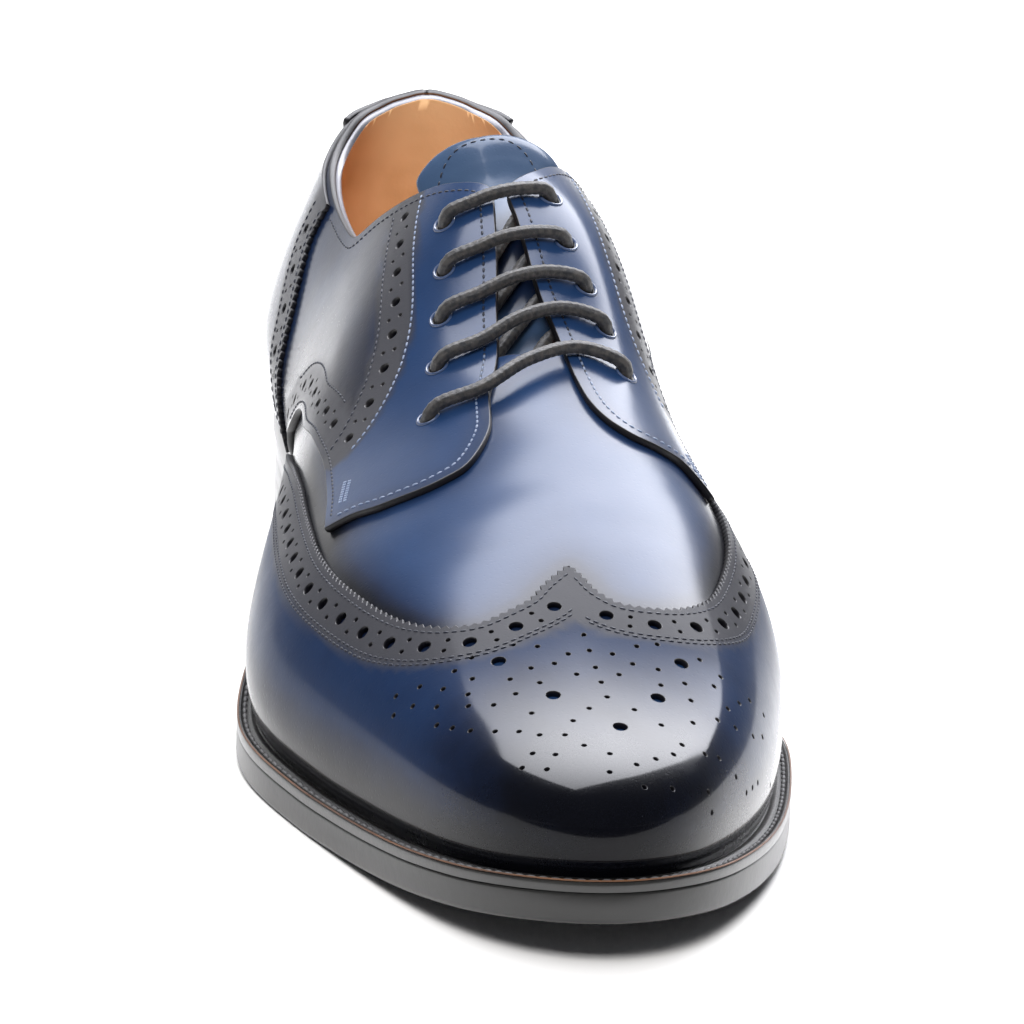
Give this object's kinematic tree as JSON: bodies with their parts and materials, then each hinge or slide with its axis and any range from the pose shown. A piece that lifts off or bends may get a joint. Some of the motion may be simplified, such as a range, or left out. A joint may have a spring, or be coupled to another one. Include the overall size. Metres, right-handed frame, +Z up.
{
  "type": "wingtip brogue shoe",
  "caption": "Right wingtip derby brogue in blue leather burnished dark at the toe, with a laced front, leather welt and stacked heel.",
  "frame": {"origin": "on the floor under the middle of the shoe's outline", "axes": "+Y from the heel to the toe, +X to the wearer's right, the outer side of this foot, +Z up"},
  "size_m": [0.1074, 0.303, 0.1046],
  "materials": {
    "outsole_black": "satin black sole with a fine tread",
    "welt_black": "dark waxed leather strip with stitches",
    "heel_black": "polished black stacked edge",
    "top_piece_front_black": "fine grained black",
    "top_piece_back_black": "matt black",
    "insole_tan": "smooth tan lining leather",
    "upper_blue": "glossy hand-coloured blue calf, burnished dark to the toe",
    "wing_navy": "glossy blue calf, burnished nearly black at the edges",
    "quarter_blue": "glossy dark blue calf",
    "counter_navy": "glossy dark blue calf",
    "tab_navy": "glossy dark blue calf",
    "tongue_blue": "satin blue calf",
    "lace_grey": "round waxed cotton cord"
  },
  "bodies": {
    "root": {"outsole": "outsole_black", "welt": "welt_black", "heel_block": "heel_black", "top_piece_front": "top_piece_front_black", "top_piece_back": "top_piece_back_black", "insole": "insole_tan", "upper": "upper_blue", "wing_cap": "wing_navy", "quarter_lateral": "quarter_blue", "quarter_medial": "quarter_blue", "heel_counter": "counter_navy", "heel_tab": "tab_navy", "tongue": "tongue_blue", "lace": "lace_grey"}
  },
  "joints": []
}
